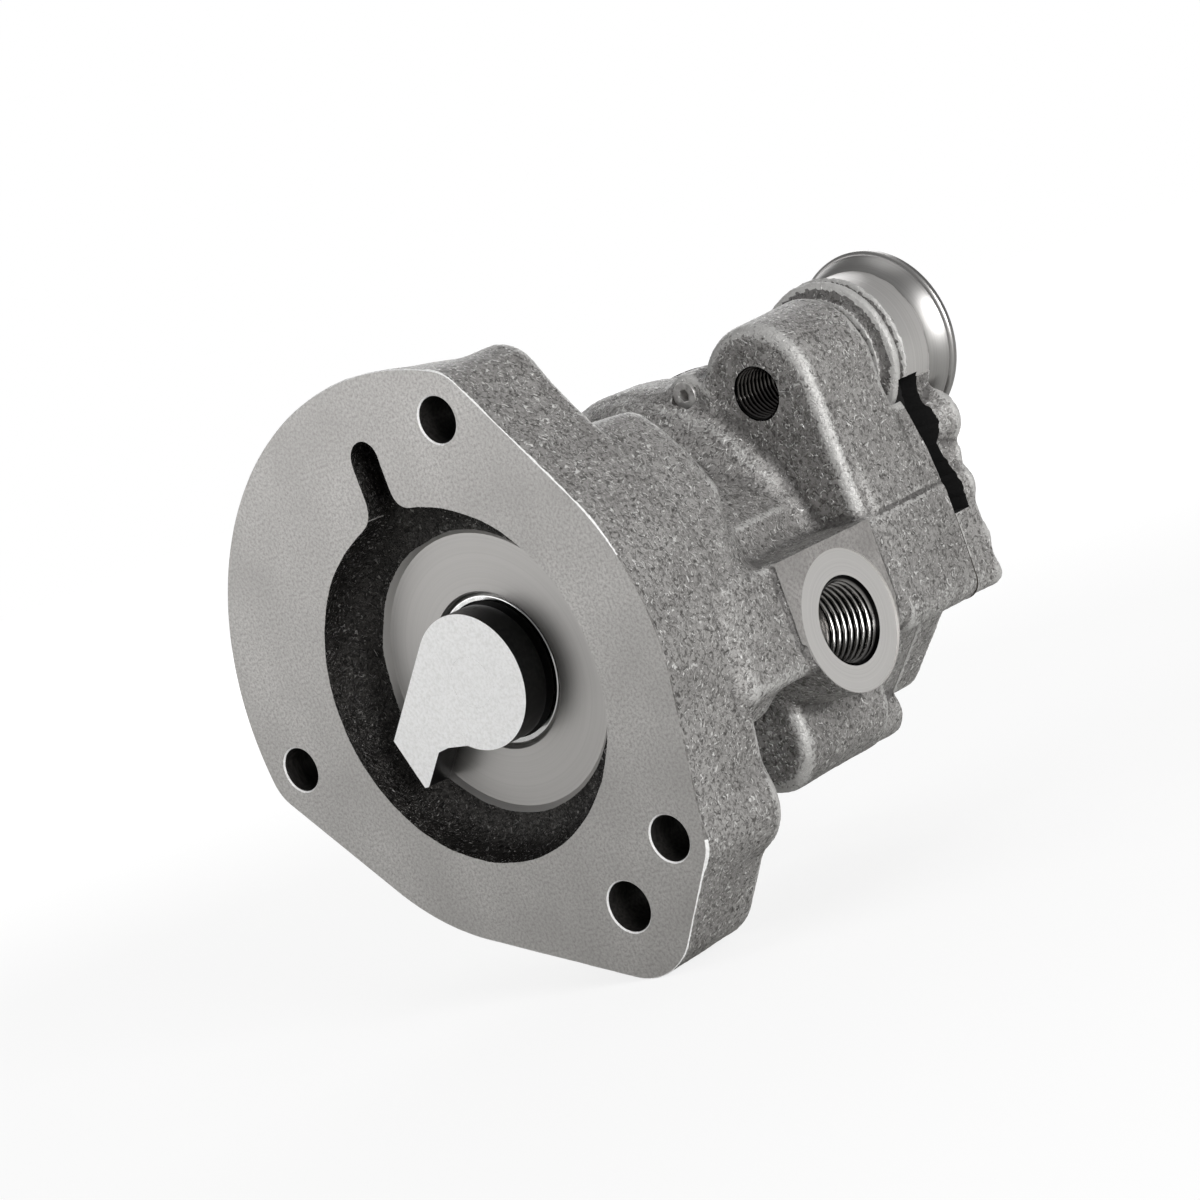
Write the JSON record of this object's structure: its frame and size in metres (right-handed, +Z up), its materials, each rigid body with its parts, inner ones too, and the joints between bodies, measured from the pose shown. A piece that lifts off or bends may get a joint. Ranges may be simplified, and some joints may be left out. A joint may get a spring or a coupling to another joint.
{
  "type": "centrifugal pump",
  "caption": "Flange-mounted centrifugal pump with a driving dog, cast housing, threaded side port and turned suction flange.",
  "frame": {"origin": "on the shaft axis, in the plane of the machined mounting face", "axes": "+Y along the shaft from the mounting face to the rear cover, +X towards the threaded side port, +Z up as the slot in the face points"},
  "size_m": [0.1429, 0.1306, 0.1502],
  "materials": {
    "cast_housing": "rough sand-cast grey iron with machined faces",
    "cast_cover": "rough sand-cast grey iron",
    "fibre_gasket": "compressed fibre sheet",
    "screw_steel": "blackened steel",
    "hard_steel": "ground steel",
    "turned_steel": "turned bright steel",
    "plug_steel": "plain steel",
    "ground_plate": "ground steel",
    "bronze": "cast bronze",
    "ground_dog": "ground face, dark sides",
    "polished_case": "polished steel",
    "seal_rubber": "matt black rubber",
    "spring_steel": "spring steel",
    "seal_ceramic": "lapped ceramic",
    "seal_carbon": "lapped carbon",
    "bearing_steel": "polished bearing steel",
    "cage_brass": "machined brass"
  },
  "bodies": {
    "stator": {"pump_housing": "cast_housing", "cover_gasket": "fibre_gasket", "rear_cover": "cast_cover", "cover_screws": "screw_steel", "cover_dowels": "hard_steel", "suction_flange": "turned_steel", "passage_plug": "plug_steel", "suction_plate": "ground_plate", "front_bearing_outer_race": "bearing_steel", "rear_bearing_outer_race": "bearing_steel", "outer_spacer": "hard_steel", "bearing_circlip": "spring_steel", "shaft_seal_case": "polished_case", "shaft_seal_lip": "seal_rubber", "seal_garter_spring": "spring_steel", "face_seal_seat": "seal_ceramic", "face_seal_seat_cord": "seal_rubber"},
    "rotor": {"drive_shaft": "hard_steel", "drive_dog": "ground_dog", "dog_key": "hard_steel", "impeller": "bronze", "impeller_key": "hard_steel", "impeller_washer": "screw_steel", "impeller_nut": "screw_steel", "front_bearing_inner_race": "bearing_steel", "rear_bearing_inner_race": "bearing_steel", "inner_spacer": "hard_steel", "face_seal_ring": "seal_carbon", "face_seal_bellows": "seal_rubber", "face_seal_spring": "spring_steel"},
    "front_ball_set": {"front_bearing_cage": "cage_brass", "front_bearing_balls": "bearing_steel"},
    "rear_ball_set": {"rear_bearing_cage": "cage_brass", "rear_bearing_balls": "bearing_steel"}
  },
  "joints": [
    {"name": "shaft_spin", "type": "hinge", "parent": "stator", "child": "rotor", "pos_m": [0, 0, 0], "axis": [0, 1, 0], "continuous": true},
    {"name": "front_ball_orbit", "type": "hinge", "parent": "stator", "child": "front_ball_set", "pos_m": [0, 0.029, 0], "axis": [0, 1, 0], "continuous": true},
    {"name": "rear_ball_orbit", "type": "hinge", "parent": "stator", "child": "rear_ball_set", "pos_m": [0, 0.061, 0], "axis": [0, 1, 0], "continuous": true}
  ],
  "couplings": [
    {"joint": "front_ball_orbit", "follows": "shaft_spin", "ratio": 0.4085},
    {"joint": "rear_ball_orbit", "follows": "shaft_spin", "ratio": 0.4085}
  ]
}
